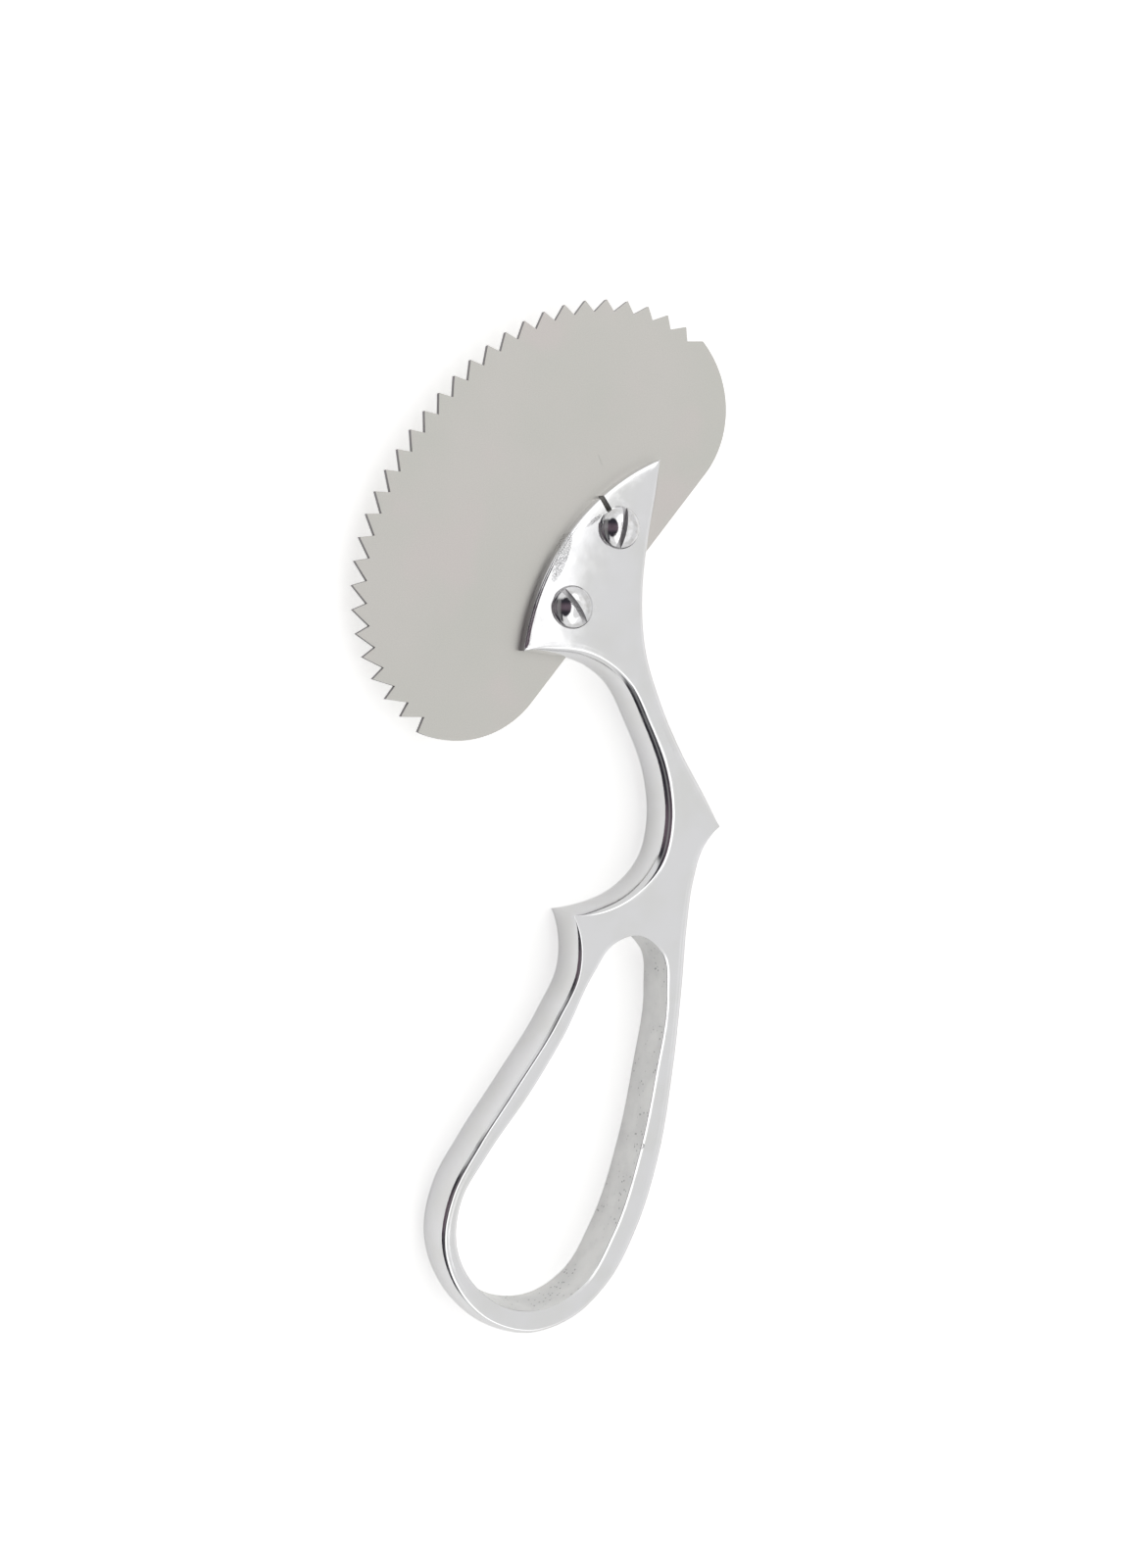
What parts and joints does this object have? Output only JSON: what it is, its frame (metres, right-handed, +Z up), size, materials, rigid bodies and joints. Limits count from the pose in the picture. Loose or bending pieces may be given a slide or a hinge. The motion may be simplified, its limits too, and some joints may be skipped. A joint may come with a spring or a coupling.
{
  "type": "bone saw",
  "caption": "Hand bone saw with a half-oval toothed blade screwed between the cheeks of a cast metal handle with a finger rest and an open hand loop.",
  "frame": {"origin": "middle of the saw's length and width, on the plane of the handle's rear face", "axes": "+Y from the hand loop towards the blade, +X towards the spur on the handle's back, +Z up out of the front face with the screw heads"},
  "size_m": [0.0574, 0.15, 0.0089],
  "materials": {
    "cast_handle": "polished cast stainless steel with a matt inner loop wall",
    "blade_steel": "satin stainless sheet",
    "screw_steel": "bright polished steel"
  },
  "bodies": {
    "root": {"handle": "cast_handle", "blade": "blade_steel", "screw_upper": "screw_steel", "screw_lower": "screw_steel"}
  },
  "joints": []
}
